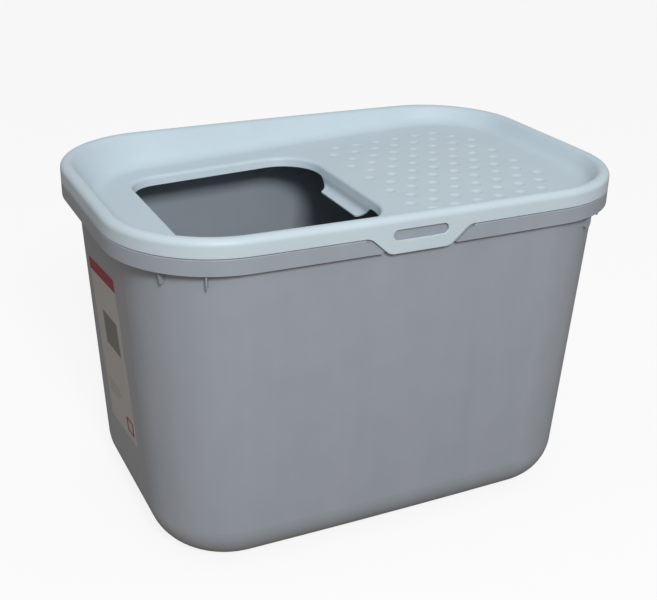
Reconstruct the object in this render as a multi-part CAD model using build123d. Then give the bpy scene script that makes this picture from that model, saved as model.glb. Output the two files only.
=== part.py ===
from build123d import *
import math
import os

# Top entry litter box: a grey tub, a dished lid with an entry hole that snaps over the
# tub's mouth, the lid's two flexing snap tabs, and a label on the tub's left end.
# Millimetres. +X runs along the box away from the entry, -Y is the front, +Z is up.
# The origin is the middle of the surface that the tub stands on.

# ---------------------------------------------------------------- overall and rim outline
LENGTH = 585.0             # over the lid's skirt, along X
WIDTH = 390.0              # over the lid's skirt, along Y, at the middle of the bowed sides
HEIGHT = 395.0             # floor to the top of the lid's rim
RIM_CORNER_R = 116.0       # plan radius of the lid's and the tub skirt's corners
RIM_BOW = 2.0              # how far each long side of the rim bulges at its middle

# ---------------------------------------------------------------- tub moulding
TUB_WALL = 2.5             # moulded wall
END_OVERHANG = 16.5        # rim past the tub's end walls, a grip for the fingers
SIDE_OVERHANG = 6.0        # rim past the tub's long walls
TUB_CORNER_R = 108.0       # plan radius of the wall where it meets the ledge
TUB_WALL_BOW = 1.5         # bulge of each long wall at its middle
TUB_DRAFT = 3.15           # degrees that every wall leans in towards the floor
FOOT_R = 52.0              # rounding between wall and floor, outside
BAND_HEIGHT = 16.5         # down-turned skirt that shows under the lid
BAND_EDGE_R = 1.0          # rounding of the skirt's upper edge
UPSTAND_HEIGHT = 9.5       # lip inside the lid's skirt that centres the lid
RIB_THICKNESS = 1.4        # corner gussets between wall and skirt
RIB_REACH = 11.5           # a gusset's width at the ledge
RIB_FOOT_REACH = 6.0       # its width at its lower edge
RIB_DROP = 15.0            # how far it runs down the wall below the skirt
RIB_ANGLES = (37.8, 61.8)  # round each corner, degrees from the X axis

# ---------------------------------------------------------------- lid moulding
LID_WALL = 2.5
SKIRT_HEIGHT = 19.0        # from the top of the rim to the skirt's lower edge
RIM_ROUND_R = 7.0          # bullnose, outside and inside
RIM_FLAT = 1.0             # flat left on top between the two roundings
SLOPE_ANGLE = 57.0         # degrees of the dish's sides from level
SLOPE_FOOT_R = 18.0        # hollow fillet between the dish's sides and its floor
FLOOR_DROP = 29.6          # from the top of the rim to the dish's floor at x = 0
FLOOR_TILT = 2.2           # degrees, lower at the entry end

# Entry hole, seen on the dish's floor.
ENTRY_END_MARGIN = 77.0    # from the lid's end to the hole
ENTRY_LENGTH = 232.5
ENTRY_WIDTH = 255.0
ENTRY_OUTER_R = 35.5       # corners towards the lid's end
ENTRY_INNER_R = 56.0       # corners towards the landing
ENTRY_EDGE_R = 4.5         # rounding from the floor into the hole
ENTRY_LIP_DEPTH = 11.0     # turned-down edge, square to the floor
ENTRY_LIP_DRAFT = 12.0     # degrees

# Apron that hangs from the hole's inner side and turns out into a scoop with a flat lip.
APRON_FOOT_WIDTH = 62.0    # the flat of its lower edge
APRON_DROP = 5.0           # its upright part, below the turned-down edge
APRON_SCOOP_R = 7.0
APRON_SCOOP_TURN = 75.0    # degrees
APRON_LIP = 4.0            # the flat lip past the scoop
APRON_NECK_R = 12.0        # where its sides flare into the turned-down edge
APRON_FOOT_R = 40.0        # the curve from its lower edge up to each neck

# Dimples that knock litter off the paws, in staggered rows that fill the landing.
DIMPLE_DIAMETER = 13.5
DIMPLE_DEPTH = 1.7
DIMPLE_PITCH_X = 28.1
DIMPLE_PITCH_Y = 23.9
DIMPLE_START = 27.1        # from the hole to the first dimples, centre to edge
DIMPLE_MARGIN = 14.0       # least distance from a dimple's centre to the dish's fillet

# ---------------------------------------------------------------- snap tabs
TAB_DROP = 20.0            # below the lid's skirt
TAB_FOOT_WIDTH = 58.0      # flat lower edge
TAB_SIDE_ANGLE = 42.0      # degrees of the slanting sides from level
TAB_SIDE_R = 14.0          # both curves of each side
TAB_ROOT_MARGIN = 1.5      # the bending line, below the rim's bullnose
SLOT_LENGTH = 63.0
SLOT_HEIGHT = 11.2
SLOT_ABOVE_FOOT = 14.0     # from the tab's lower edge to the slot's lower edge

# ---------------------------------------------------------------- label
LABEL_WIDTH = 105.0
LABEL_HEIGHT = 197.0
LABEL_THICKNESS = 0.3
LABEL_TURN = 6.0           # degrees that it was stuck on askew
LABEL_CENTRE_Y = 11.0
LABEL_CENTRE_Z = 200.0

# ---------------------------------------------------------------- clearances
SEAT_GAP = 0.7             # lid skirt over tub ledge, a shadow line all round
LID_SIDE_GAP = 0.6         # upstand and tab pocket behind the lid's skirt
TAB_SEAM = 0.3             # between a tab and the rest of the lid
POCKET_GAP = 3.0           # round a tab's outline, in the tub's skirt

# ---------------------------------------------------------------- sizes that follow
TUB_TOP_LENGTH = LENGTH - 2 * END_OVERHANG
TUB_TOP_WIDTH = WIDTH - 2 * SIDE_OVERHANG
SKIRT_LOW = HEIGHT - SKIRT_HEIGHT
LEDGE_TOP = SKIRT_LOW - SEAT_GAP
BAND_LOW = LEDGE_TOP - BAND_HEIGHT
UPSTAND_INSET = LID_WALL + LID_SIDE_GAP
FLOOR_Z = HEIGHT - FLOOR_DROP
ENTRY_LEFT = ENTRY_END_MARGIN - LENGTH / 2
ENTRY_RIGHT = ENTRY_LEFT + ENTRY_LENGTH
TAB_ROOT = HEIGHT - RIM_ROUND_R - TAB_ROOT_MARGIN
TAB_LOW = SKIRT_LOW - TAB_DROP

SLOPE = math.radians(SLOPE_ANGLE)
DISH_INSET = RIM_ROUND_R + RIM_FLAT + RIM_ROUND_R * math.tan(SLOPE / 2)
LIP_DRAFT = math.radians(ENTRY_LIP_DRAFT)
LIP_INSET = ENTRY_EDGE_R * math.tan((math.pi / 2 - LIP_DRAFT) / 2)
FLOOR_PLANE = Plane((0, 0, FLOOR_Z)).rotated((0, -FLOOR_TILT, 0))

QUADRANTS = ((1, 1), (-1, 1), (-1, -1), (1, -1))
BEYOND = 10.0              # how far a cutting shape runs past what it cuts
NEAR = 0.001               # how close counts as the same place


# ---------------------------------------------------------------- outlines
def bowed_rectangle(length, width, corner_r, bow, inset=0.0):
    """Rounded rectangle whose long sides are shallow arcs; each arc meets the next in line.

    An inset gives the parallel outline that much further in.
    """
    run = length / 2 - corner_r
    side_r = (run**2 + bow**2) / (2 * bow)
    side_centre = Vector(0, width / 2 - side_r)
    corner_centre = side_centre + Vector(run, math.sqrt((side_r - corner_r) ** 2 - run**2))
    outward = (corner_centre - side_centre).normalized()
    half_turn = math.radians(outward.get_angle(Vector(1, 0)) / 2)
    halfway = Vector(math.cos(half_turn), math.sin(half_turn))
    join = side_centre + outward * (side_r - inset)
    middle = corner_centre + halfway * (corner_r - inset)
    end = corner_centre + Vector(corner_r - inset, 0)
    side_y = width / 2 - inset
    edges = []
    for x, y in QUADRANTS:
        corner = [Vector(p.X * x, p.Y * y) for p in (end, middle, join)]
        edges.append(ThreePointArc(*corner))
    for x in (1, -1):
        edges.append(Line((end.X * x, -end.Y), (end.X * x, end.Y)))
    for y in (1, -1):
        edges.append(ThreePointArc((-join.X, join.Y * y), (0, side_y * y), (join.X, join.Y * y)))
    return make_face(edges)


def rim(inset):
    return bowed_rectangle(LENGTH, WIDTH, RIM_CORNER_R, RIM_BOW, inset)


def rim_solid(inset, low, high):
    return extrude(Pos(0, 0, low) * rim(inset), high - low)


def rim_ring(outer_inset, inner_inset, low, high):
    return rim_solid(outer_inset, low, high) - rim_solid(inner_inset, low - BEYOND, high + BEYOND)


def narrowing(face, top, depth, angle):
    """Solid under a face at height top, whose sides lean in by angle on the way down."""
    upright = extrude(face, depth, taper=angle)
    return Pos(0, 0, top) * Rot(180, 0, 0) * upright


def tab_centres():
    """Centres of the two arcs on a tab's right side: at its foot and at the skirt's edge."""
    turn = math.radians(TAB_SIDE_ANGLE)
    rise = TAB_DROP - 2 * TAB_SIDE_R * (1 - math.cos(turn))
    head_x = TAB_FOOT_WIDTH / 2 + 2 * TAB_SIDE_R * math.sin(turn) + rise / math.tan(turn)
    return Vector(TAB_FOOT_WIDTH / 2, TAB_LOW + TAB_SIDE_R), Vector(head_x, SKIRT_LOW - TAB_SIDE_R)


def tab_outline(spread=0.0):
    """A snap tab seen from the front, grown all round by spread.

    Each side is an arc, a slanting line and an arc, from the tab's foot to the skirt's edge.
    """
    turn = math.radians(TAB_SIDE_ANGLE)
    out = Vector(math.sin(turn), -math.cos(turn))
    half_out = Vector(math.sin(turn / 2), -math.cos(turn / 2))
    down = Vector(0, -1)
    foot, head = tab_centres()
    foot_r = TAB_SIDE_R + spread
    head_r = TAB_SIDE_R - spread
    right = [
        foot + down * foot_r, foot + half_out * foot_r, foot + out * foot_r,
        head - out * head_r, head - half_out * head_r, head - down * head_r,
        Vector(head.X, TAB_ROOT),
    ]
    left = [Vector(-p.X, p.Y) for p in right]
    edges = [Line(left[0], right[0]), Line(left[-1], right[-1])]
    for side in (right, left):
        edges.append(ThreePointArc(*side[0:3]))
        edges.append(Line(side[2], side[3]))
        edges.append(ThreePointArc(*side[3:6]))
        edges.append(Line(side[5], side[6]))
    return make_face(edges)


def through_front(face):
    """Runs a face drawn in X and Z through the whole front half of the box."""
    return extrude(Plane.XZ * face, WIDTH)


# ---------------------------------------------------------------- tub
def tub_shell():
    """Drafted walls and rounded foot: the outside, and what hollows it to an even wall."""
    side_wall = TUB_WALL / math.cos(math.radians(TUB_DRAFT))
    outline = (TUB_TOP_LENGTH, TUB_TOP_WIDTH, TUB_CORNER_R, TUB_WALL_BOW)
    inner_face = bowed_rectangle(*outline, side_wall)
    outer = narrowing(bowed_rectangle(*outline), LEDGE_TOP, LEDGE_TOP, TUB_DRAFT)
    outer = fillet(outer.faces().sort_by(Axis.Z)[0].edges(), FOOT_R)
    inner = narrowing(inner_face, LEDGE_TOP, LEDGE_TOP - TUB_WALL, TUB_DRAFT)
    inner = fillet(inner.faces().sort_by(Axis.Z)[0].edges(), FOOT_R - TUB_WALL)
    mouth = extrude(Pos(0, 0, LEDGE_TOP) * inner_face, BEYOND)
    return outer, inner + mouth


def make_collar():
    """Ledge and down-turned skirt in one, with the upstand on top."""
    collar = rim_solid(0, BAND_LOW, LEDGE_TOP)
    collar = fillet(collar.faces().sort_by(Axis.Z)[-1].edges(), BAND_EDGE_R)
    collar = collar - rim_solid(TUB_WALL, BAND_LOW - BEYOND, LEDGE_TOP - TUB_WALL)
    upstand_top = LEDGE_TOP + UPSTAND_HEIGHT
    return collar + rim_ring(UPSTAND_INSET, UPSTAND_INSET + TUB_WALL, LEDGE_TOP - TUB_WALL, upstand_top)


def corner_ribs(outer):
    """Gussets that tie the ledge and skirt to the wall at each corner."""
    centre_x = TUB_TOP_LENGTH / 2 - TUB_CORNER_R
    centre_y = TUB_TOP_WIDTH / 2 - TUB_CORNER_R
    low = BAND_LOW - RIB_DROP
    wall_x = TUB_CORNER_R - TUB_WALL
    foot_x = TUB_CORNER_R - (LEDGE_TOP - low) * math.tan(math.radians(TUB_DRAFT)) + RIB_FOOT_REACH
    profile = Polyline(
        (wall_x, LEDGE_TOP - TUB_WALL), (TUB_CORNER_R + RIB_REACH, LEDGE_TOP - TUB_WALL),
        (foot_x, low), (foot_x - RIB_FOOT_REACH - TUB_WALL, low), close=True,
    )
    fin = extrude(Plane.XZ * make_face(profile), RIB_THICKNESS / 2, both=True)
    inside_band = rim_solid(TUB_WALL, 0, LEDGE_TOP)
    ribs = []
    for angle in RIB_ANGLES:
        for x, y in QUADRANTS:
            turn = angle if x * y > 0 else -angle
            turn = turn if x > 0 else turn + 180
            rib = Pos(x * centre_x, y * centre_y, 0) * Rot(0, 0, turn) * fin
            ribs.append((rib & inside_band) - outer)
    return ribs


def tab_pockets():
    """The skirt behind each tab: what is added to it, and what is cut from it."""
    block_ring = rim_ring(0, UPSTAND_INSET + TUB_WALL, BAND_LOW, LEDGE_TOP - BAND_EDGE_R)
    block = through_front(tab_outline(POCKET_GAP + TUB_WALL)) & block_ring
    recess_ring = rim_ring(-BEYOND, UPSTAND_INSET, TAB_LOW - BEYOND, LEDGE_TOP + BEYOND)
    recess = through_front(tab_outline(POCKET_GAP)) & recess_ring
    behind = Rot(0, 0, 180)
    return [block, behind * block], [recess, behind * recess]


def make_tub():
    outer, hollow = tub_shell()
    blocks, recesses = tab_pockets()
    tub = outer + make_collar()
    for piece in blocks + corner_ribs(outer):
        tub = tub + piece
    for cut in [hollow] + recesses:
        tub = tub - cut
    return tub


# ---------------------------------------------------------------- lid
def dish(thickness, headroom):
    """The dish's hollow, grown outwards by thickness, up to headroom over the rim."""
    inset = DISH_INSET - thickness / math.sin(SLOPE) - headroom / math.tan(SLOPE)
    tilt_drop = LENGTH / 2 * math.sin(math.radians(FLOOR_TILT))
    depth = headroom + FLOOR_DROP + tilt_drop + thickness
    cone = narrowing(rim(inset), HEIGHT + headroom, depth, 90 - SLOPE_ANGLE)
    above_floor = FLOOR_PLANE.offset(-thickness) * Box(
        2 * LENGTH, 2 * WIDTH, HEIGHT, align=(Align.CENTER, Align.CENTER, Align.MIN)
    )
    hollow = cone & above_floor
    bottom = hollow.faces().sort_by(Axis.Z)[0]
    return fillet(bottom.edges(), SLOPE_FOOT_R + thickness)


def entry_face(inset):
    """The entry hole's outline on the dish's floor, in the floor's own plane."""
    size = (ENTRY_LENGTH - 2 * inset, ENTRY_WIDTH - 2 * inset)
    outline = Pos((ENTRY_RIGHT + ENTRY_LEFT) / 2, 0) * Rectangle(*size)
    outline = fillet(outline.vertices().sort_by(Axis.X)[:2], ENTRY_OUTER_R - inset)
    return fillet(outline.vertices().sort_by(Axis.X)[-2:], ENTRY_INNER_R - inset)


def into_floor(face, depth):
    """Runs a face in the floor's plane down through the floor, narrowing by the lip's draft."""
    return FLOOR_PLANE * narrowing(face, 0, depth, ENTRY_LIP_DRAFT)


def cut_entry(lid):
    """The hole, its turned-down edge and the rounding between floor and hole."""
    lip = into_floor(entry_face(LIP_INSET - LID_WALL), ENTRY_LIP_DEPTH)
    hole = into_floor(entry_face(LIP_INSET), ENTRY_LIP_DEPTH + BEYOND)
    way_in = FLOOR_PLANE * extrude(entry_face(LIP_INSET), BEYOND)
    lid = lid + lip - hole - way_in
    on_floor = [edge for edge in lid.edges() if all(
        abs(FLOOR_PLANE.to_local_coords(edge @ t).Z) < NEAR for t in (0, 0.5, 1))]
    round_hole = [edge for edge in on_floor if ENTRY_LEFT < edge.center().X < ENTRY_RIGHT
                  and abs(edge.center().Y) < ENTRY_WIDTH / 2]
    return fillet(round_hole, ENTRY_EDGE_R)


def apron_outline(high, lip_z, low):
    """The apron seen from the hole: hollow necks, then round feet, each arc in line with the next."""
    neck_z = lip_z - APRON_NECK_R
    foot = Vector(APRON_FOOT_WIDTH / 2, low + APRON_FOOT_R)
    reach = APRON_NECK_R + APRON_FOOT_R
    neck = Vector(foot.X + math.sqrt(reach**2 - (foot.Y - neck_z) ** 2), neck_z)
    towards = (foot - neck).normalized()
    up = Vector(0, 1)
    right = [
        neck + up * APRON_NECK_R,
        neck + (up + towards).normalized() * APRON_NECK_R,
        neck + towards * APRON_NECK_R,
        foot - (up + towards).normalized() * APRON_FOOT_R,
        foot - up * APRON_FOOT_R,
    ]
    left = [Vector(-p.X, p.Y) for p in right]
    edges = [Line((left[0].X, high), (right[0].X, high)), Line(left[4], right[4])]
    for side in (right, left):
        edges.append(Line((side[0].X, high), side[0]))
        edges.append(ThreePointArc(*side[0:3]))
        edges.append(ThreePointArc(*side[2:5]))
    return make_face(edges)


def make_apron():
    """A sheet, upright, scooped towards the hole and then flat, trimmed to its flared outline."""
    turn = math.radians(APRON_SCOOP_TURN)
    wall_x = ENTRY_RIGHT - LIP_INSET - ENTRY_LIP_DEPTH * math.tan(LIP_DRAFT)
    lip_z = (FLOOR_PLANE * Pos(ENTRY_RIGHT, 0, -ENTRY_LIP_DEPTH)).position.Z
    overlap = ENTRY_LIP_DEPTH / 2
    top = Vector(wall_x + overlap * math.tan(LIP_DRAFT), lip_z + overlap)
    bend = Vector(wall_x - APRON_SCOOP_R, lip_z - APRON_DROP)
    inner = [bend + Vector(math.cos(a), -math.sin(a)) * APRON_SCOOP_R for a in (0, turn / 2, turn)]
    outer = [p + (p - bend).normalized() * LID_WALL for p in inner]
    onwards = Vector(-math.sin(turn), -math.cos(turn)) * APRON_LIP
    across = Vector(LID_WALL, 0)
    lip = Vector(wall_x, lip_z)
    section = make_face([
        Line(top, lip), Line(lip, inner[0]), ThreePointArc(*inner), Line(inner[2], inner[2] + onwards),
        Line(inner[2] + onwards, outer[2] + onwards), Line(outer[2] + onwards, outer[2]),
        ThreePointArc(*outer), Line(outer[0], lip + across), Line(lip + across, top + across),
        Line(top + across, top),
    ])
    sheet = extrude(Plane.XZ * section, WIDTH / 2, both=True)
    outline = apron_outline(top.Y + BEYOND, lip_z, (outer[2] + onwards).Y)
    apron = sheet & extrude(Plane.YZ * outline, LENGTH, both=True)
    return apron - into_floor(entry_face(LIP_INSET), ENTRY_LIP_DEPTH)


def dimples():
    """Balls that press the shallow caps into the dish's floor."""
    half = DIMPLE_DIAMETER / 2
    ball_r = (half**2 + DIMPLE_DEPTH**2) / (2 * DIMPLE_DEPTH)
    fillet_inset = DISH_INSET + FLOOR_DROP / math.tan(SLOPE) + SLOPE_FOOT_R * math.tan(SLOPE / 2)
    landing = rim(fillet_inset + DIMPLE_MARGIN)
    rows = int(WIDTH / 2 / DIMPLE_PITCH_Y)
    columns = int(LENGTH / 2 / DIMPLE_PITCH_X)
    balls = []
    for row in range(-rows, rows + 1):
        stagger = DIMPLE_PITCH_X / 2 if row % 2 else 0
        for column in range(columns + 1):
            x = ENTRY_RIGHT + DIMPLE_START + stagger + column * DIMPLE_PITCH_X
            y = row * DIMPLE_PITCH_Y
            if landing.is_inside((x, y, 0)):
                balls.append(FLOOR_PLANE * Pos(x, y, ball_r - DIMPLE_DEPTH) * Sphere(ball_r))
    return balls


def tab_gap():
    """What a tab and the seam round its root take out of the lid's skirt."""
    half_width = tab_centres()[1].X + TAB_SEAM
    top = TAB_ROOT + TAB_SEAM
    face = Pos(0, (top + TAB_LOW) / 2) * Rectangle(2 * half_width, top - TAB_LOW)
    return through_front(face) & rim_ring(-BEYOND, UPSTAND_INSET, TAB_LOW, HEIGHT - LID_WALL)


def make_lid():
    body = rim_solid(0, SKIRT_LOW, HEIGHT)
    body = fillet(body.faces().sort_by(Axis.Z)[-1].edges(), RIM_ROUND_R)
    under = rim_solid(LID_WALL, SKIRT_LOW - BEYOND, HEIGHT - LID_WALL)
    under = fillet(under.faces().sort_by(Axis.Z)[-1].edges(), RIM_ROUND_R - LID_WALL)
    lid = body - under + dish(LID_WALL, 0) - dish(0, BEYOND)
    lid = fillet(lid.faces().sort_by(Axis.Z)[-1].inner_wires()[0].edges(), RIM_ROUND_R)
    lid = cut_entry(lid)
    lid = lid + make_apron()
    lid = lid - dimples()
    for turn in (0, 180):
        lid = lid - Rot(0, 0, turn) * tab_gap()
    return lid


# ---------------------------------------------------------------- snap tabs
def make_front_tab():
    """A flap of the lid's skirt with a round-ended finger slot."""
    flap = through_front(tab_outline()) & rim_ring(0, LID_WALL, TAB_LOW, TAB_ROOT)
    slot_z = TAB_LOW + SLOT_ABOVE_FOOT + SLOT_HEIGHT / 2
    return flap - through_front(Pos(0, slot_z) * SlotOverall(SLOT_LENGTH, SLOT_HEIGHT))


# ---------------------------------------------------------------- label
def make_label():
    """A printed sheet, stuck a little askew on the flat of the tub's left wall."""
    lean = math.radians(TUB_DRAFT)
    wall_x = TUB_TOP_LENGTH / 2 - (LEDGE_TOP - LABEL_CENTRE_Z) * math.tan(lean)
    wall = Plane(
        origin=(-wall_x, LABEL_CENTRE_Y, LABEL_CENTRE_Z),
        x_dir=(0, -1, 0),
        z_dir=(-math.cos(lean), 0, -math.sin(lean)),
    )
    sheet = Rot(0, 0, LABEL_TURN) * Rectangle(LABEL_WIDTH, LABEL_HEIGHT)
    return extrude(wall * sheet, LABEL_THICKNESS)


# ---------------------------------------------------------------- write every node
FRONT_TAB = make_front_tab()
NODES = {
    "tub": make_tub(),
    "lid": make_lid(),
    "front_snap_tab": FRONT_TAB,
    "rear_snap_tab": Rot(0, 0, 180) * FRONT_TAB,
    "side_label": make_label(),
}
os.makedirs("parts", exist_ok=True)
for name, solid in NODES.items():
    export_step(solid, f"parts/{name}.step")
    print(name, "volume", round(solid.volume), "mm3")
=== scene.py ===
import math

import bmesh
import bpy
import numpy as np
from mathutils import Matrix, Vector
from mathutils.geometry import delaunay_2d_cdt


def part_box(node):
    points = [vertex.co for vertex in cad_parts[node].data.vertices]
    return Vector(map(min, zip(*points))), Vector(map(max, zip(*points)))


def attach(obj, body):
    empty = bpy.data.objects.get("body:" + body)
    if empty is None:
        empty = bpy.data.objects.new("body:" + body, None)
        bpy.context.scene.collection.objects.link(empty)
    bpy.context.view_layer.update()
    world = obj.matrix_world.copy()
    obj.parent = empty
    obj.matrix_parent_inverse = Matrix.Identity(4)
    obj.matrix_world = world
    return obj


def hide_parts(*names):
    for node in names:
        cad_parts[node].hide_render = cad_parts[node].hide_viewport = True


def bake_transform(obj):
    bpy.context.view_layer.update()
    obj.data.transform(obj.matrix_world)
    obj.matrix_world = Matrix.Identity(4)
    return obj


# Top entry litter box, dressed for its portrait: a grey tub with a printed label, and a pale
# lid with a dimpled landing, an entry hole and two flexing snap tabs. Sizes are millimetres, as
# on the part's drawing, and become metres when a mesh is made. +X runs away from the entry,
# -Y is the front, +Z is up, and the floor is at zero.
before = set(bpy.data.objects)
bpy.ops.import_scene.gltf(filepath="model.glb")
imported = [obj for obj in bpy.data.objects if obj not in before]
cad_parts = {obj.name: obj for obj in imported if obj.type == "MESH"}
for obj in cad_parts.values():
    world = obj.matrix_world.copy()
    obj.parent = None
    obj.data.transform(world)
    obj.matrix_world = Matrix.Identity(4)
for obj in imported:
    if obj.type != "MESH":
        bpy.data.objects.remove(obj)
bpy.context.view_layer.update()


# ---------------------------------------------------------------- tub
# The tub is one deep injection moulding in mid-grey polypropylene, with a skirted rim and small
# gussets under it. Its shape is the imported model's own; here it gets its surface.
def linear(code):
    """An sRGB hex colour as linear red, green, blue and full cover.

    Each channel c over 0.04045 becomes ((c + 0.055) / 1.055) to the power 2.4, else c / 12.92.
    """
    channels = np.array([int(code[i:i + 2], 16) for i in (1, 3, 5)]) / 255
    low = channels / 12.92
    high = ((channels + 0.055) / 1.055) ** 2.4
    return (*np.where(channels > 0.04045, high, low), 1.0)


def add_node(tree, kind, settings, sockets):
    """Adds a node with its settings; a socket's value is a number, a colour or what it links to."""
    new = tree.nodes.new(kind)
    for key, value in settings.items():
        setattr(new, key, value)
    for key, value in sockets.items():
        if isinstance(value, bpy.types.NodeSocket):
            tree.links.new(value, new.inputs[key])
        else:
            new.inputs[key].default_value = value
    return new


def moulded_polypropylene(name, colour, worn_colour, flow):
    """Injection-moulded polypropylene from a fine spark-eroded mould.

    To the eye that is a satin skin with a soft, wide highlight, barely visible grain, walls that
    are never quite flat because they shrink as they cool, faint streaks along the flow of the
    melt, and light scuffs where it was handled. flow stretches the streaks along X, Y and Z.
    """
    grain = 1.3e-3             # metres; the real grain of 0.2 mm would not show, so it is coarser
    ripple = 0.11              # shrinkage waves across a wall
    blotch = 0.035             # cloudy colour of the melt
    scuff = 0.009
    material = bpy.data.materials.new(name)
    material.use_nodes = True
    tree = material.node_tree
    tree.nodes.clear()
    place = add_node(tree, "ShaderNodeTexCoord", {}, {}).outputs["Object"]
    streak_place = add_node(tree, "ShaderNodeMapping", {}, {"Vector": place, "Scale": flow})
    streaks = add_node(tree, "ShaderNodeTexNoise", {}, {
        "Vector": streak_place.outputs[0], "Scale": 1.0, "Detail": 3.0, "Roughness": 0.55})
    clouds = add_node(tree, "ShaderNodeTexNoise", {}, {
        "Vector": place, "Scale": 1 / blotch, "Detail": 4.0, "Roughness": 0.6})
    cloud_mix = add_node(tree, "ShaderNodeMath", {"operation": "ADD"}, {
        0: streaks.outputs["Fac"], 1: clouds.outputs["Fac"]})
    tint = add_node(tree, "ShaderNodeMapRange", {}, {
        "Value": cloud_mix.outputs[0], "From Min": 0.6, "From Max": 1.4, "To Min": 0.0, "To Max": 0.5})
    scuff_noise = add_node(tree, "ShaderNodeTexNoise", {}, {
        "Vector": place, "Scale": 1 / scuff, "Detail": 8.0, "Roughness": 0.75, "Distortion": 0.6})
    scuffs = add_node(tree, "ShaderNodeMapRange", {"clamp": True}, {
        "Value": scuff_noise.outputs["Fac"], "From Min": 0.60, "From Max": 0.78, "To Max": 0.35})
    wear = add_node(tree, "ShaderNodeMath", {"operation": "ADD", "use_clamp": True}, {
        0: tint.outputs[0], 1: scuffs.outputs[0]})
    shade = add_node(tree, "ShaderNodeMix", {"data_type": "RGBA"}, {
        0: wear.outputs[0], 6: linear(colour), 7: linear(worn_colour)})
    roughness = add_node(tree, "ShaderNodeMapRange", {}, {
        "Value": clouds.outputs["Fac"], "From Min": 0.3, "From Max": 0.7, "To Min": 0.40, "To Max": 0.50})
    dulled = add_node(tree, "ShaderNodeMath", {"operation": "MULTIPLY_ADD"}, {
        0: scuffs.outputs[0], 1: 0.25, 2: roughness.outputs[0]})
    waves = add_node(tree, "ShaderNodeTexNoise", {}, {
        "Vector": place, "Scale": 1 / ripple, "Detail": 1.0})
    uneven = add_node(tree, "ShaderNodeBump", {}, {
        "Strength": 1.0, "Distance": 0.0010, "Height": waves.outputs["Fac"]})
    pits = add_node(tree, "ShaderNodeTexNoise", {}, {
        "Vector": place, "Scale": 1 / grain, "Detail": 2.0})
    rough_skin = add_node(tree, "ShaderNodeBump", {}, {
        "Strength": 0.35, "Distance": 0.00012, "Height": pits.outputs["Fac"],
        "Normal": uneven.outputs[0]})
    surface = add_node(tree, "ShaderNodeBsdfPrincipled", {}, {
        "Base Color": shade.outputs[2], "Roughness": dulled.outputs[0], "IOR": 1.49,
        "Normal": rough_skin.outputs[0]})
    add_node(tree, "ShaderNodeOutputMaterial", {}, {"Surface": surface.outputs[0]})
    return material


TUB_GREY = "#969fa9"
TUB_GREY_WORN = "#a2a9b2"
UP_THE_WALL = (45.0, 45.0, 4.0)        # streaks a metre, drawn out along Z
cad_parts["tub"].data.materials[0] = moulded_polypropylene(
    "satin_grey_polypropylene", TUB_GREY, TUB_GREY_WORN, UP_THE_WALL)

# ---------------------------------------------------------------- side label
# A coated paper sheet, glued slightly askew on the tub's left end wall. It carries a plain
# printed layout: a crimson head band, a pale field, a grey picture panel and a small frame.
MM = 0.001
LABEL_WIDTH = 105.0
LABEL_HEIGHT = 197.0
LABEL_THICKNESS = 0.3
LABEL_TURN = math.radians(6.0)
LABEL_CENTRE_Y, LABEL_CENTRE_Z = 11.0, 200.0   # on the wall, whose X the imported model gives
WALL_LEAN = math.radians(3.15)


def grid_faces(rows, columns, closed):
    """Quads between neighbouring rows and columns of a grid of points, numbered row by row.

    A closed grid's last column is joined to its first.
    """
    row, column = np.meshgrid(
        np.arange(rows - 1), np.arange(columns if closed else columns - 1), indexing="ij")
    after = (column + 1) % columns
    quads = np.stack([
        row * columns + column, row * columns + after,
        (row + 1) * columns + after, (row + 1) * columns + column], axis=-1)
    return quads.reshape(-1, 4)


def label_sheet(rows=40, columns=22):
    """The label's printed face as points, and its own width and height coordinates from 0 to 1.

    Across runs along the tilted sheet, up runs along the leaning wall, and the face stands off
    the wall by the sheet's thickness, less small shallow sine ripples where air was trapped.
    """
    lowest = Vector(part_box("side_label")[0]) / MM
    across, up = np.meshgrid(np.linspace(0, 1, columns), np.linspace(0, 1, rows))
    a = (across - 0.5) * LABEL_WIDTH
    b = (up - 0.5) * LABEL_HEIGHT
    y = a * math.cos(LABEL_TURN) - b * math.sin(LABEL_TURN)
    z = a * math.sin(LABEL_TURN) + b * math.cos(LABEL_TURN)
    ripple = 0.06 * (1 - np.sin(across * 9.0 + up * 4.0) * np.sin(up * 17.0 + 1.0))
    stand_off = LABEL_THICKNESS - ripple
    highest_z = (abs(LABEL_WIDTH * math.sin(LABEL_TURN)) + LABEL_HEIGHT * math.cos(LABEL_TURN)) / 2
    wall_x = lowest.x + highest_z * math.sin(WALL_LEAN) + LABEL_THICKNESS * math.cos(WALL_LEAN)
    points = np.stack([
        wall_x - z * math.sin(WALL_LEAN) - stand_off * math.cos(WALL_LEAN),
        LABEL_CENTRE_Y - y,
        LABEL_CENTRE_Z + z * math.cos(WALL_LEAN) - stand_off * math.sin(WALL_LEAN)], axis=-1)
    return points, np.stack([across, up], axis=-1)


def joined(shells):
    """Several skins, each its points and faces, as one list of points and one of faces."""
    start = 0
    points, faces = [], []
    for skin_points, skin_faces in shells:
        points.append(skin_points)
        faces.extend(skin_faces + start)
        start += len(skin_points)
    return np.concatenate(points), faces


def new_piece(name, points, faces, material, body):
    """A mesh object at the origin, made from points in millimetres, that rides on a body."""
    mesh = bpy.data.meshes.new(name)
    mesh.from_pydata((points * MM).tolist(), [], [face.tolist() for face in faces])
    mesh.materials.append(material)
    piece = bpy.data.objects.new(name, mesh)
    bpy.context.scene.collection.objects.link(piece)
    if body:
        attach(piece, body)
    return piece


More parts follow.
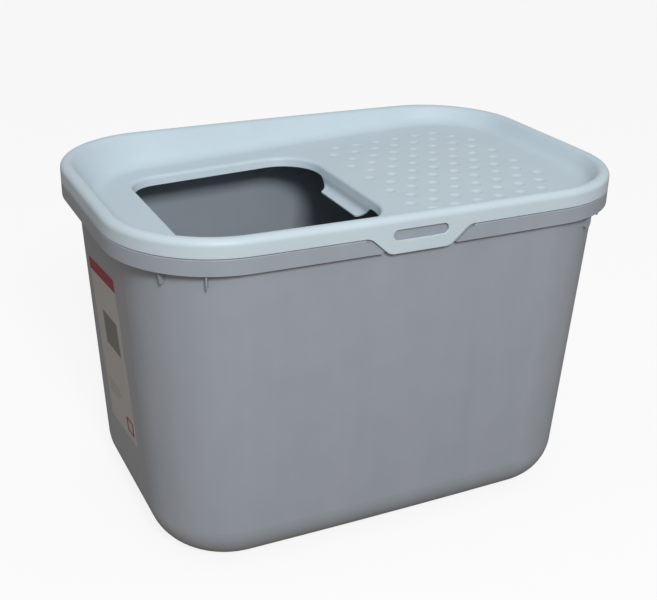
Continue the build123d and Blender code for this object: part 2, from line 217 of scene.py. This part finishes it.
def printed_paper():
    """Coated label paper, offset printed: smooth, slightly glossy, with inks in flat fields.

    The fields are boxes on the sheet's own coordinates, across and up from 0 to 1.
    """
    pale, crimson, panel = "#b0b5b6", "#96283f", "#71787a"
    fibre = 0.004              # metres
    inks = (                   # colour, left, right, foot and head of each printed box
        (crimson, 0.0, 1.0, 0.925, 1.0),
        (panel, 0.30, 0.86, 0.52, 0.72),
        (crimson, 0.68, 0.94, 0.045, 0.135),
        (pale, 0.73, 0.89, 0.060, 0.120),
        ("#959897", 0.08, 0.55, 0.250, 0.262),
        ("#959897", 0.08, 0.62, 0.220, 0.232),
        ("#959897", 0.08, 0.48, 0.190, 0.202),
    )
    material = bpy.data.materials.new("offset_printed_label_paper")
    material.use_nodes = True
    tree = material.node_tree
    tree.nodes.clear()
    coords = add_node(tree, "ShaderNodeTexCoord", {}, {})
    sheet = add_node(tree, "ShaderNodeSeparateXYZ", {}, {0: coords.outputs["UV"]})
    fibres = add_node(tree, "ShaderNodeTexNoise", {}, {
        "Vector": coords.outputs["Object"], "Scale": 1 / fibre, "Detail": 5.0})
    shade = add_node(tree, "ShaderNodeMix", {"data_type": "RGBA"}, {
        0: fibres.outputs["Fac"], 6: linear(pale), 7: linear("#b7bbbb")}).outputs[2]
    for ink, left, right, foot, head in inks:
        inside = 1.0
        for axis, low, high in (("X", left, right), ("Y", foot, head)):
            middle, half = (low + high) / 2, (high - low) / 2
            box = add_node(tree, "ShaderNodeMath", {"operation": "COMPARE"}, {
                0: sheet.outputs[axis], 1: middle, 2: half})
            inside = add_node(tree, "ShaderNodeMath", {"operation": "MULTIPLY"}, {
                0: box.outputs[0], 1: inside}).outputs[0]
        shade = add_node(tree, "ShaderNodeMix", {"data_type": "RGBA"}, {
            0: inside, 6: shade, 7: linear(ink)}).outputs[2]
    relief = add_node(tree, "ShaderNodeBump", {}, {
        "Strength": 0.3, "Distance": 0.0001, "Height": fibres.outputs["Fac"]})
    surface = add_node(tree, "ShaderNodeBsdfPrincipled", {}, {
        "Base Color": shade, "Roughness": 0.42, "IOR": 1.5, "Normal": relief.outputs[0]})
    add_node(tree, "ShaderNodeOutputMaterial", {}, {"Surface": surface.outputs[0]})
    return material


label_points, label_places = label_sheet()
label = new_piece(
    "side_label_sheet", label_points.reshape(-1, 3), grid_faces(*label_points.shape[:2], False),
    printed_paper(), "tub")
label_uv = label.data.uv_layers.new(name="sheet")
corner_of = np.empty(len(label.data.loops), dtype=np.int32)
label.data.loops.foreach_get("vertex_index", corner_of)
label_uv.data.foreach_set("uv", label_places.reshape(-1, 2)[corner_of].ravel())
paper = label.modifiers.new("paper", "SOLIDIFY")
paper.thickness = 0.12 * MM
paper.offset = -1.0
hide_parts("side_label")

# ---------------------------------------------------------------- lid
# The lid is one injection moulding in pale blue-white polypropylene, 2.5 mm thick: a skirt and
# bullnose rim, a dished tray with a tilted floor, a dimpled landing, and the entry hole with its
# turned-down edge and apron. It snaps over the tub's rim.
LENGTH, WIDTH, HEIGHT = 585.0, 390.0, 395.0
RIM_CORNER_R = 116.0
RIM_BOW = 2.0              # bulge of each long side
LID_WALL = 2.5
EDGE_R = 0.6               # every free edge of the moulding is rounded by this
SKIRT_LOW = 376.0
RIM_ROUND_R = 7.0
RIM_FLAT = 1.0
SLOPE = math.radians(57.0)
SLOPE_FOOT_R = 18.0
FLOOR_DROP = 29.6
FLOOR_TILT = math.radians(2.2)
ENTRY_LEFT, ENTRY_RIGHT, ENTRY_WIDTH = -215.5, 17.0, 255.0
ENTRY_OUTER_R, ENTRY_INNER_R = 35.5, 56.0
ENTRY_EDGE_R = 4.5
ENTRY_LIP_DEPTH = 11.0
ENTRY_LIP_DRAFT = math.radians(12.0)
APRON_FOOT_WIDTH = 62.0
APRON_DROP = 5.0           # upright part, then the scoop, then its flat lip
APRON_SCOOP_R = 7.0
APRON_SCOOP_TURN = math.radians(75.0)
APRON_LIP = 4.0
APRON_NECK_R = 12.0
APRON_FOOT_R = 40.0
APRON_LOW = 339.85
APRON_HALF = 68.0          # just past the end of its necks
DIMPLE_R = 6.75
DIMPLE_DEPTH = 1.7
DIMPLE_PITCH_X, DIMPLE_PITCH_Y = 28.1, 23.9
DIMPLE_START = 27.1        # from the hole to the first dimples
DIMPLE_MARGIN = 14.0       # least distance from a dimple's centre to the dish's fillet
TAB_HALF = 61.96           # half the width that each snap tab takes of the skirt
TAB_TOP = HEIGHT - RIM_ROUND_R


def bowed_side():
    """How far a long side runs from the middle to its corner arc, and the radius of its own arc.

    The radius is (run^2 + bow^2) / (2 bow).
    """
    run = LENGTH / 2 - RIM_CORNER_R
    return run, (run**2 + RIM_BOW**2) / (2 * RIM_BOW)


def rim_outline():
    """Points and outward normals round a rectangle with corner arcs and bowed long sides.

    A long side is a shallow arc, and a corner arc continues it in line down to the straight end.
    Columns are placed so that some stand at the tabs' sides.
    """
    run, side_r = bowed_side()
    side_y = WIDTH / 2 - side_r
    corner_y = side_y + math.sqrt((side_r - RIM_CORNER_R) ** 2 - run**2)
    turn = math.atan2(corner_y - side_y, run)
    join_x = side_r * math.cos(turn)
    x = np.concatenate([np.linspace(0, TAB_HALF, 9), np.linspace(TAB_HALF, join_x, 10)[1:]])
    rise = np.sqrt(side_r**2 - x**2)
    side = np.stack([x, side_y + rise, x / side_r, rise / side_r], axis=-1)
    angle = np.linspace(turn, 0, 26)[1:]
    arc = np.stack([
        run + RIM_CORNER_R * np.cos(angle), corner_y + RIM_CORNER_R * np.sin(angle),
        np.cos(angle), np.sin(angle)], axis=-1)
    end_y = np.linspace(corner_y, 0, 8)[1:]
    end = np.stack([np.full(7, LENGTH / 2), end_y, np.ones(7), np.zeros(7)], axis=-1)
    quarter = np.concatenate([side, arc, end])
    half = np.concatenate([quarter, quarter[-2::-1] * (1, -1, 1, -1)])
    loop = np.concatenate([half[:-1], -half[:-1]])
    return loop[:, :2], loop[:, 2:]


def rim_section(at, outward):
    """The lid's outer skin from its skirt up over the rim and down to the dish's floor.

    Each row is the outline drawn in by an inset at a height: up the skirt, a quarter round, a
    flat, a round down to the slope's angle, the slope, and a hollow fillet. The slope ends where
    it meets the tilted floor, so the last rows change height round the dish.
    """
    turn = np.linspace(0, math.pi / 2, 9)[1:]
    fall = np.linspace(0, SLOPE, 8)
    brow = RIM_ROUND_R + RIM_FLAT
    inset = np.concatenate([
        np.zeros(6), RIM_ROUND_R * (1 - np.cos(turn)), brow + RIM_ROUND_R * np.sin(fall)])
    height = np.concatenate([
        [SKIRT_LOW + EDGE_R, SKIRT_LOW + 2 * EDGE_R, SKIRT_LOW + 5, TAB_TOP - 3, TAB_TOP - 0.5, TAB_TOP],
        TAB_TOP + RIM_ROUND_R * np.sin(turn), HEIGHT - RIM_ROUND_R * (1 - np.cos(fall))])
    columns = len(at)
    inset = np.repeat(inset[:, None], columns, axis=1)
    height = np.repeat(height[:, None], columns, axis=1)
    tilt = math.tan(FLOOR_TILT)
    steep = math.tan(SLOPE)
    edge = brow + RIM_ROUND_R * math.tan(SLOPE / 2)
    meet = (edge + (FLOOR_DROP - at[:, 0] * tilt) / steep) / (1 - outward[:, 0] * tilt / steep)
    floor_rise = np.arctan(-outward[:, 0] * tilt)
    tangent = SLOPE_FOOT_R * np.tan((SLOPE + floor_rise) / 2)
    foot_inset = meet - tangent * math.cos(SLOPE)
    foot_height = HEIGHT - (foot_inset - edge) * steep
    part = np.linspace(0, 1, 7)[1:, None]
    slope_inset = inset[-1] + (foot_inset - inset[-1]) * part
    slope_height = height[-1] + (foot_height - height[-1]) * part
    heading = -SLOPE + (SLOPE + floor_rise) * np.linspace(0, 1, 13)[1:, None]
    fillet_inset = foot_inset + SLOPE_FOOT_R * (np.sin(heading) + math.sin(SLOPE))
    fillet_height = foot_height + SLOPE_FOOT_R * (math.cos(SLOPE) - np.cos(heading))
    inset = np.concatenate([inset, slope_inset, fillet_inset])
    height = np.concatenate([height, slope_height, fillet_height])
    plan = at - inset[..., None] * outward
    return np.concatenate([plan, height[..., None]], axis=-1)


def floor_to_world(local):
    """Turns points or directions given in the tilted floor's own axes to the box's axes."""
    along = np.array([math.cos(FLOOR_TILT), 0, math.sin(FLOOR_TILT)])
    across = np.array([0.0, 1.0, 0.0])
    out = np.array([-math.sin(FLOOR_TILT), 0, math.cos(FLOOR_TILT)])
    return local[..., :1] * along + local[..., 1:2] * across + local[..., 2:] * out


def hole_outline():
    """Points and outward normals round the entry hole on the floor, from its inner side's middle.

    A rounded rectangle with large corners at the landing and small ones at the lid's end. The
    inner side has columns closer together where the apron's curved ends are.
    """
    half_width = ENTRY_WIDTH / 2
    foot_half = APRON_FOOT_WIDTH / 2
    y = np.concatenate([
        np.linspace(0, foot_half, 7), np.linspace(foot_half, APRON_HALF, 31)[1:],
        [half_width - ENTRY_INNER_R]])
    inner = np.stack([np.full(len(y), ENTRY_RIGHT), y, np.ones(len(y)), np.zeros(len(y))], axis=-1)
    corners = []
    for centre_x, radius, turn in (
            (ENTRY_RIGHT - ENTRY_INNER_R, ENTRY_INNER_R, np.radians(np.r_[4:91:4])),
            (ENTRY_LEFT + ENTRY_OUTER_R, ENTRY_OUTER_R, np.radians(np.linspace(90, 180, 15)))):
        corners.append(np.stack([
            centre_x + radius * np.cos(turn), half_width - radius + radius * np.sin(turn),
            np.cos(turn), np.sin(turn)], axis=-1))
    x = np.linspace(ENTRY_RIGHT - ENTRY_INNER_R, ENTRY_LEFT + ENTRY_OUTER_R, 16)[1:-1]
    long_side = np.stack([x, np.full(14, half_width), np.zeros(14), np.ones(14)], axis=-1)
    y = np.linspace(half_width - ENTRY_OUTER_R, 0, 12)[1:]
    outer = np.stack([np.full(11, ENTRY_LEFT), y, -np.ones(11), np.zeros(11)], axis=-1)
    half = np.concatenate([inner, corners[0], long_side, corners[1], outer])
    loop = np.concatenate([half, half[-2:0:-1] * (1, -1, 1, -1)])
    return loop[:, :2], loop[:, 2:]


def apron_reach(y, lip_z):
    """How far the apron hangs below the lip at each y, in Z: feet, then necks, as two arcs in line."""
    y = np.abs(y)
    neck_z = lip_z - APRON_NECK_R
    foot_y, foot_z = APRON_FOOT_WIDTH / 2, APRON_LOW + APRON_FOOT_R
    reach = APRON_NECK_R + APRON_FOOT_R
    neck_y = foot_y + math.sqrt(reach**2 - (foot_z - neck_z) ** 2)
    touch_y = foot_y + (neck_y - foot_y) * APRON_FOOT_R / reach
    foot = foot_z - np.sqrt(np.maximum(APRON_FOOT_R**2 - (y - foot_y) ** 2, 0))
    neck = neck_z + np.sqrt(np.maximum(APRON_NECK_R**2 - (neck_y - y) ** 2, 0))
    low = np.where(y < foot_y, APRON_LOW, np.where(y < touch_y, foot, neck))
    return np.where(y < neck_y, lip_z - low, 0.0)


def mouth_section(at, outward):
    """The skin from the floor down into the entry hole, to its free edge, and down the apron.

    Rows turn over the edge's rounding and down the drafted lip, square to the tilted floor. On
    the landing side they go on down the upright apron, round its scoop and out along its lip.
    """
    turn = np.linspace(0, math.pi / 2 - ENTRY_LIP_DRAFT, 12)
    round_inset = ENTRY_EDGE_R * np.sin(turn)
    round_depth = ENTRY_EDGE_R * (1 - np.cos(turn))
    inward = np.concatenate([-outward, np.zeros((len(at), 1))], axis=-1)
    base = np.concatenate([at, np.zeros((len(at), 1))], axis=-1)
    down = np.array([0.0, 0.0, -1.0])
    rounding = base + round_inset[:, None, None] * inward + round_depth[:, None, None] * down
    lip_run = (ENTRY_LIP_DEPTH - round_depth[-1]) / math.cos(ENTRY_LIP_DRAFT)
    lean = math.sin(ENTRY_LIP_DRAFT) * inward + math.cos(ENTRY_LIP_DRAFT) * down
    origin = np.array([0.0, 0.0, HEIGHT - FLOOR_DROP])
    rounding = floor_to_world(rounding) + origin
    lean = floor_to_world(lean)
    inward = floor_to_world(inward)
    lip = rounding[-1] + lip_run * lean
    beside = (np.abs(at[:, 1]) < ENTRY_WIDTH / 2) & (at[:, 0] > ENTRY_RIGHT - ENTRY_INNER_R)
    hang = np.where(beside, apron_reach(lip[:, 1], lip[0, 2]), 0.0)
    sine, cosine = math.sin(APRON_SCOOP_TURN), math.cos(APRON_SCOOP_TURN)
    scoop_drop = np.clip(hang - APRON_DROP, 0, APRON_SCOOP_R * sine)
    tip_drop = np.clip(hang - APRON_DROP - scoop_drop, 0, APRON_LIP * cosine)
    length = np.minimum(hang, APRON_DROP) + APRON_SCOOP_R * np.arcsin(scoop_drop / APRON_SCOOP_R)
    length = length + tip_drop / cosine
    run = np.linspace(0, 1, 37)[1:, None] * (lip_run + length - EDGE_R)
    on_lip = np.minimum(run, lip_run)
    beyond = np.maximum(run - lip_run, 0)
    upright = np.minimum(beyond, APRON_DROP)
    scoop = np.minimum((beyond - upright) / APRON_SCOOP_R, APRON_SCOOP_TURN)
    flat = beyond - upright - APRON_SCOOP_R * scoop
    wall = rounding[-1] + on_lip[..., None] * lean
    wall = wall + (APRON_SCOOP_R * (1 - np.cos(scoop)) + flat * sine)[..., None] * inward * (1, 1, 0)
    wall = wall + (upright + APRON_SCOOP_R * np.sin(scoop) + flat * cosine)[..., None] * down
    return np.concatenate([rounding, wall])


def skin_normals(points, first=None, last=None):
    """Unit normals of a closed grid, from the cross product of its two directions.

    A given first or last direction replaces those of that row, where the skin runs into a plane.
    """
    along = np.roll(points, -1, axis=1) - np.roll(points, 1, axis=1)
    down = np.gradient(points, axis=0)
    normals = np.cross(along, down)
    normals /= np.linalg.norm(normals, axis=-1, keepdims=True)
    if first is not None:
        normals[0] = first
    if last is not None:
        normals[-1] = last
    return normals


def rounded_edge(points, normals, outward):
    """The rim of a wall: rows from its outer skin's edge, round to its inner skin's edge.

    Two quarter rounds of the edge radius, one from each skin, with the flat between them.
    """
    turn = np.linspace(0, math.pi / 2, 5)[:, None, None]
    reach = EDGE_R * np.sin(turn) * outward
    sink = EDGE_R * (1 - np.cos(turn)) * normals
    inner = points - LID_WALL * normals
    return np.concatenate([points + reach - sink, (inner + reach + sink)[::-1]])


def dimple(centres, out):
    """Shallow ball-pressed caps with a soft rim, as rings round each centre on the floor.

    The depth at radius r is the smooth larger of 0 and depth * (1 - (r / radius)^2).
    """
    share = np.array([0, 0.3, 0.55, 0.75, 0.88, 0.96, 1.04, 1.14, 1.3])
    angle = np.linspace(0, 2 * math.pi, 25)[:-1]
    cap = DIMPLE_DEPTH * (1 - share**2)
    softness = 0.18
    depth = (cap + np.sqrt(cap**2 + softness**2)) / 2
    depth = depth - depth[-1]
    x = centres[:, 0, None, None] + DIMPLE_R * share[:, None] * np.cos(angle)
    y = centres[:, 1, None, None] + DIMPLE_R * share[:, None] * np.sin(angle)
    z = np.broadcast_to(-depth[:, None] - out, x.shape)
    return np.stack([x, y, z], axis=-1)


def dimple_centres():
    """Staggered rows that fill the landing, on the floor's own axes."""
    flat_inset = RIM_ROUND_R + RIM_FLAT + RIM_ROUND_R * math.tan(SLOPE / 2)
    flat_inset += FLOOR_DROP / math.tan(SLOPE) + SLOPE_FOOT_R * math.tan(SLOPE / 2)
    inset = flat_inset + DIMPLE_MARGIN
    rows = np.arange(-8, 9)
    columns = np.arange(11)
    row, column = np.meshgrid(rows, columns, indexing="ij")
    x = ENTRY_RIGHT + DIMPLE_START + (column + 0.5 * (row % 2)) * DIMPLE_PITCH_X
    y = row * DIMPLE_PITCH_Y
    run, side_r = bowed_side()
    side = np.hypot(x, np.abs(y) + side_r - WIDTH / 2) < side_r - inset
    corner_y = WIDTH / 2 - side_r + math.sqrt((side_r - RIM_CORNER_R) ** 2 - run**2)
    in_corner = (x > run) & (np.abs(y) > corner_y)
    corner = np.hypot(x - run, np.abs(y) - corner_y) < RIM_CORNER_R - inset
    inside = side & (x < LENGTH / 2 - inset) & (corner | ~in_corner)
    return np.stack([x[inside], y[inside]], axis=-1)


def flat_between(outer, holes):
    """Triangles that fill the flat floor inside a round loop and outside some round holes.

    A constrained triangulation of all the loops' points, without the triangles whose corners
    all lie on one hole: the holes bulge everywhere, so those are the ones inside it.
    """
    loops = [outer, *holes]
    flat = np.concatenate(loops)
    loop_of = np.repeat(np.arange(len(loops)), [len(loop) for loop in loops])
    index = np.arange(len(flat))
    ends = np.cumsum([len(loop) for loop in loops])
    after = index + 1
    after[ends - 1] = ends - [len(loop) for loop in loops]
    edges = np.stack([index, after], axis=-1)
    result = delaunay_2d_cdt([Vector(p) for p in flat], edges.tolist(), [], 0, 1e-6)
    corners = np.array(result[2])
    corner_loop = loop_of[np.array([source[0] for source in result[3]])][corners]
    inside = (corner_loop == corner_loop[:, :1]).all(axis=1) & (corner_loop[:, 0] > 0)
    return np.array(result[0]), corners[~inside]


def lid_mesh():
    """All skins of the lid as points and faces, doubled inwards to the moulded wall.

    The outer and inner skins differ by the wall along their normals, and rounded edges join them
    along the skirt, the lip and the apron. The tabs' stretch of the skirt is left out.
    """
    up = floor_to_world(np.array([0.0, 0.0, 1.0]))
    origin = np.array([0.0, 0.0, HEIGHT - FLOOR_DROP])
    rim_at, rim_out = rim_outline()
    rim = rim_section(rim_at, rim_out)
    rim_normals = -skin_normals(rim, last=-up)
    mouth = mouth_section(*hole_outline())
    mouth_normals = skin_normals(mouth, first=up)
    shells = []                # points and faces of each finished skin or edge

    def add(points, closed=True):
        shells.append((points.reshape(-1, 3), grid_faces(*points.shape[:2], closed)))

    rows, columns = rim.shape[:2]
    rim_faces = grid_faces(rows, columns, True)
    top_row = int(np.argmin(np.abs(rim[:, 0, 2] - TAB_TOP)))
    centre = rim.reshape(-1, 3)[rim_faces].mean(axis=1)
    in_tab = (np.abs(centre[:, 0]) < TAB_HALF) & (rim_faces[:, 0] // columns < top_row)
    in_tab &= np.abs(centre[:, 1]) > WIDTH / 4
    for skin in (rim, rim - LID_WALL * rim_normals):
        shells.append((skin.reshape(-1, 3), rim_faces[~in_tab]))
    edge_out = np.broadcast_to(np.array([0.0, 0.0, -1.0]), rim[0].shape)
    edge = rounded_edge(rim[0], rim_normals[0], edge_out)
    edge_faces = grid_faces(*edge.shape[:2], True)
    edge_centre = edge.reshape(-1, 3)[edge_faces].mean(axis=1)
    keep = (np.abs(edge_centre[:, 0]) > TAB_HALF) | (np.abs(edge_centre[:, 1]) < WIDTH / 4)
    shells.append((edge.reshape(-1, 3), edge_faces[keep]))
    inner_rim = rim - LID_WALL * rim_normals
    for side in (1, -1):
        on_side = rim_at[:, 1] * side > WIDTH / 4
        across = np.flatnonzero(on_side & (np.abs(rim_at[:, 0]) < TAB_HALF + 0.01))
        across = across[np.argsort(rim_at[across, 0])]
        add(np.stack([rim[top_row, across], inner_rim[top_row, across]]), closed=False)
        for column in (across[0], across[-1]):
            add(np.stack([rim[:top_row + 1, column], inner_rim[:top_row + 1, column]]), closed=False)
    add(mouth)
    add(mouth - LID_WALL * mouth_normals)
    tangent = np.roll(mouth[-1], -1, axis=0) - np.roll(mouth[-1], 1, axis=0)
    out = np.cross(tangent, mouth_normals[-1])
    out /= np.linalg.norm(out, axis=-1, keepdims=True)
    out *= np.sign(np.sum(out * (mouth[-1] - mouth[-2]), axis=-1, keepdims=True))
    add(rounded_edge(mouth[-1], mouth_normals[-1], out))
    centres = dimple_centres()
    local = rim[-1] - origin
    outer_loop = np.stack([
        local[:, 0] * math.cos(FLOOR_TILT) + local[:, 2] * math.sin(FLOOR_TILT), local[:, 1]], axis=-1)
    caps = dimple(centres, 0.0)
    circles = caps[:, -1, :, :2]
    flat, triangles = flat_between(outer_loop, [hole_outline()[0], *circles])
    for thickness in (0.0, LID_WALL):
        level = np.concatenate([flat, np.full((len(flat), 1), -thickness)], axis=-1)
        shells.append((floor_to_world(level) + origin, triangles))
        for cap in dimple(centres, thickness):
            shells.append((floor_to_world(cap).reshape(-1, 3) + origin, grid_faces(*cap.shape[:2], True)))
    return joined(shells)


def weld(piece):
    """Joins the skins where they meet, closes what is left open, and points faces outwards."""
    mesh = piece.data
    shape = bmesh.new()
    shape.from_mesh(mesh)
    bmesh.ops.remove_doubles(shape, verts=shape.verts, dist=0.02 * MM)
    open_edges = [edge for edge in shape.edges if edge.is_boundary]
    bmesh.ops.holes_fill(shape, edges=open_edges, sides=24)
    bmesh.ops.recalc_face_normals(shape, faces=shape.faces)
    shape.to_mesh(mesh)
    shape.free()
    mesh.shade_smooth()
    mesh.set_sharp_from_angle(angle=math.radians(50))


LID_WHITE = "#bfd0da"
LID_WHITE_WORN = "#c9d8e0"
ALONG_THE_LID = (5.0, 38.0, 38.0)      # streaks a metre, drawn out along X
lid_plastic = moulded_polypropylene(
    "satin_white_polypropylene", LID_WHITE, LID_WHITE_WORN, ALONG_THE_LID)
lid = new_piece("lid_moulding", *lid_mesh(), lid_plastic, "lid")
weld(lid)
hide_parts("lid")

# ---------------------------------------------------------------- snap tabs
# Each snap tab is a flap of the lid's own skirt, moulded with it, that bends at its root when a
# finger in its slot pulls it off the tub. So it is cut from the skirt's surface and joins the rim
# without a seam.
TAB_LOW = 356.0
TAB_FOOT_HALF = 29.0
TAB_SIDE_ANGLE = math.radians(42.0)
TAB_SIDE_R = 14.0
SLOT_HALF = 31.5
SLOT_R = 5.6
SLOT_Z = 375.6


def tab_sides():
    """The free edge's right half from the skirt to the foot's middle: points and outward normals.

    A hollow arc, a slanting line and a round arc in line with each other, then the flat foot.
    """
    turn = TAB_SIDE_ANGLE
    rise = SKIRT_LOW - TAB_LOW - 2 * TAB_SIDE_R * (1 - math.cos(turn))
    foot = np.array([TAB_FOOT_HALF, TAB_LOW + TAB_SIDE_R])
    head = np.array([TAB_HALF, SKIRT_LOW - TAB_SIDE_R])
    angle = np.linspace(0, turn, 9)[:, None]
    direction = np.concatenate([np.sin(angle), -np.cos(angle)], axis=-1)
    hollow = head - TAB_SIDE_R * direction
    bulge = (foot + TAB_SIDE_R * direction)[::-1]
    middle = (hollow[-1] + bulge[0]) / 2
    x = np.linspace(TAB_FOOT_HALF, 0, 9)[1:, None]
    flat = np.concatenate([x, np.full((8, 1), TAB_LOW)], axis=-1)
    points = np.concatenate([hollow, [middle], bulge, flat])
    normals = np.concatenate([
        direction, direction[-1:], direction[::-1], np.tile([0.0, -1.0], (8, 1))])
    return points, normals


def slot_ring(towards, radius):
    """Where rays from the slot's middle cross a stadium of that end radius, and its normals.

    A ray meets the flat side at height radius if that lies between the end centres, and
    otherwise the end's circle: the root of |t d - c| = radius.
    """
    straight = SLOT_HALF - SLOT_R
    d = towards / np.linalg.norm(towards, axis=-1, keepdims=True)
    ax, az = np.abs(d[:, 0]), np.abs(d[:, 1])
    flat_t = radius / np.maximum(az, 1e-9)
    along = ax * straight
    round_t = along + np.sqrt(np.maximum(along**2 - straight**2 + radius**2, 0))
    t = np.where(flat_t * ax < straight, flat_t, round_t)
    ring = d * t[:, None]
    centre = np.stack([np.clip(ring[:, 0], -straight, straight), np.zeros(len(ring))], axis=-1)
    normals = ring - centre
    normals /= np.linalg.norm(normals, axis=-1, keepdims=True)
    return ring + (0.0, SLOT_Z), normals


def on_skirt(flat, depth):
    """Bends points drawn in X and Z on to the lid's bowed front skirt, depth below its surface."""
    side_r = bowed_side()[1]
    rise = np.sqrt(side_r**2 - flat[..., 0] ** 2)
    shrink = (side_r - depth) / side_r
    y = -(WIDTH / 2 - side_r + rise * shrink)
    return np.stack([flat[..., 0] * shrink, y, flat[..., 1]], axis=-1)


def tab_mesh():
    """A snap tab's two faces, its rounded free edges round outline and slot, and its root."""
    side, side_normals = tab_sides()
    free = np.concatenate([side, side[-2::-1] * (-1, 1)])
    free_normals = np.concatenate([side_normals, side_normals[-2::-1] * (-1, 1)])
    inner_free = free - EDGE_R * free_normals
    up = np.linspace(SKIRT_LOW + EDGE_R, TAB_TOP, 7)[1:, None]
    left = np.concatenate([np.full((6, 1), -TAB_HALF), up], axis=-1)
    x = np.linspace(-TAB_HALF, TAB_HALF, 17)[1:-1, None]
    top = np.concatenate([x, np.full((15, 1), TAB_TOP)], axis=-1)
    right = left[::-1] * (-1, 1)
    outline = np.concatenate([inner_free, left, top, right])
    ring, ring_normals = slot_ring(outline - (0.0, SLOT_Z), SLOT_R + EDGE_R)
    share = np.linspace(0, 1, 9)[:, None, None]
    face = outline * (1 - share) + ring * share
    shells = []

    def add(points, closed):
        shells.append((points.reshape(-1, 3), grid_faces(*points.shape[:2], closed)))

    add(on_skirt(face, 0.0), True)
    add(on_skirt(face, LID_WALL), True)
    turn = np.linspace(0, math.pi / 2, 5)
    reach = EDGE_R * np.concatenate([np.sin(turn), np.sin(turn[::-1])])
    sink = EDGE_R * (1 - np.cos(turn))
    sink = np.concatenate([sink, LID_WALL - sink[::-1]])
    for edge, normals, closed in ((inner_free, free_normals, False), (ring, -ring_normals, True)):
        strip = [on_skirt(edge + r * normals, s) for r, s in zip(reach, sink)]
        add(np.stack(strip), closed)
    seam = np.concatenate([inner_free[-1:], left, top, right, inner_free[:1]])
    add(np.stack([on_skirt(seam, 0.0), on_skirt(seam, LID_WALL)]), False)
    return joined(shells)


tab_points, tab_faces = tab_mesh()
for place, front in (("front", 1), ("rear", -1)):
    tab = new_piece(f"{place}_tab_flap", tab_points * (front, front, 1), tab_faces, lid_plastic, None)
    weld(tab)
    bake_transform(tab)
    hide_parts(f"{place}_snap_tab")

# ---------------------------------------------------------------- floor and studio light
# A plain pale floor under a soft, even sky, with one soft lamp at the front left.
scene = bpy.context.scene
scene.view_settings.view_transform = "Standard"


SEEN_WHITE = 0.85          # share of plain white in what the camera sees of the floor


def pale_floor():
    """Matt pale board. Seen directly it is almost white, with a faint shadow of the box.

    What it throws back at the box is dim and warm, as from the room's floor past the board.
    """
    material = bpy.data.materials.new("matt_pale_board")
    material.use_nodes = True
    tree = material.node_tree
    tree.nodes.clear()
    rays = add_node(tree, "ShaderNodeLightPath", {}, {})
    shade = add_node(tree, "ShaderNodeMix", {"data_type": "RGBA"}, {
        0: rays.outputs["Is Camera Ray"], 6: linear("#8a7a6c"), 7: linear("#f6f6f6")})
    board = add_node(tree, "ShaderNodeBsdfDiffuse", {}, {"Color": shade.outputs[2]})
    white = add_node(tree, "ShaderNodeEmission", {}, {"Color": (1, 1, 1, 1), "Strength": 1.0})
    seen = add_node(tree, "ShaderNodeMath", {"operation": "MULTIPLY"}, {
        0: rays.outputs["Is Camera Ray"], 1: SEEN_WHITE})
    mixed = add_node(tree, "ShaderNodeMixShader", {}, {
        0: seen.outputs[0], 1: board.outputs[0], 2: white.outputs[0]})
    add_node(tree, "ShaderNodeOutputMaterial", {}, {"Surface": mixed.outputs[0]})
    return material


half_floor = 15000.0       # millimetres
floor = new_piece(
    "studio_floor", half_floor * np.array([(-1, -1, 0), (1, -1, 0), (1, 1, 0), (-1, 1, 0)]),
    np.array([(0, 1, 2, 3)]), pale_floor(), None)

world = bpy.data.worlds.new("soft_sky")
scene.world = world
world.use_nodes = True
world.node_tree.nodes.clear()
sky_rays = add_node(world.node_tree, "ShaderNodeLightPath", {}, {})
soft = add_node(world.node_tree, "ShaderNodeBackground", {}, {
    "Color": (1, 1, 1, 1), "Strength": 0.50})
plain = add_node(world.node_tree, "ShaderNodeBackground", {}, {"Color": (1, 1, 1, 1), "Strength": 1.0})
sky = add_node(world.node_tree, "ShaderNodeMixShader", {}, {
    0: sky_rays.outputs["Is Camera Ray"], 1: soft.outputs[0], 2: plain.outputs[0]})
add_node(world.node_tree, "ShaderNodeOutputWorld", {}, {"Surface": sky.outputs[0]})

lamp = bpy.data.lights.new("key", "AREA")
lamp.energy = 53.0
lamp.size = 0.6
key = bpy.data.objects.new("key", lamp)
scene.collection.objects.link(key)
KEY_DISTANCE = 3.0
entry_back = Vector((-0.1, 0.12, 0.35))
towards_key = Vector((-0.2, -1.0, 0.653)).normalized()
key.location = entry_back + towards_key * KEY_DISTANCE
key.rotation_euler = towards_key.to_track_quat("Z", "Y").to_euler()

# ---------------------------------------------------------------- camera
# It stands where the photograph was taken from, a little above the box, at its front left.
CAMERA_AT = (-0.53093, -1.07278, 0.76189)
CAMERA_YAW, CAMERA_PITCH, CAMERA_ROLL = 0.4551, 0.4253, 0.0247     # radians
FOCAL_PIXELS = 1098.57
IMAGE_WIDTH = 657
SENSOR = 36.0
lens = bpy.data.cameras.new("camera")
lens.sensor_width = SENSOR
lens.lens = FOCAL_PIXELS / IMAGE_WIDTH * SENSOR
camera = bpy.data.objects.new("camera", lens)
scene.collection.objects.link(camera)
scene.camera = camera
camera.matrix_world = (
    Matrix.Translation(CAMERA_AT)
    @ Matrix.Rotation(-CAMERA_YAW, 4, "Z")
    @ Matrix.Rotation(math.pi / 2 - CAMERA_PITCH, 4, "X")
    @ Matrix.Rotation(CAMERA_ROLL, 4, "Z"))
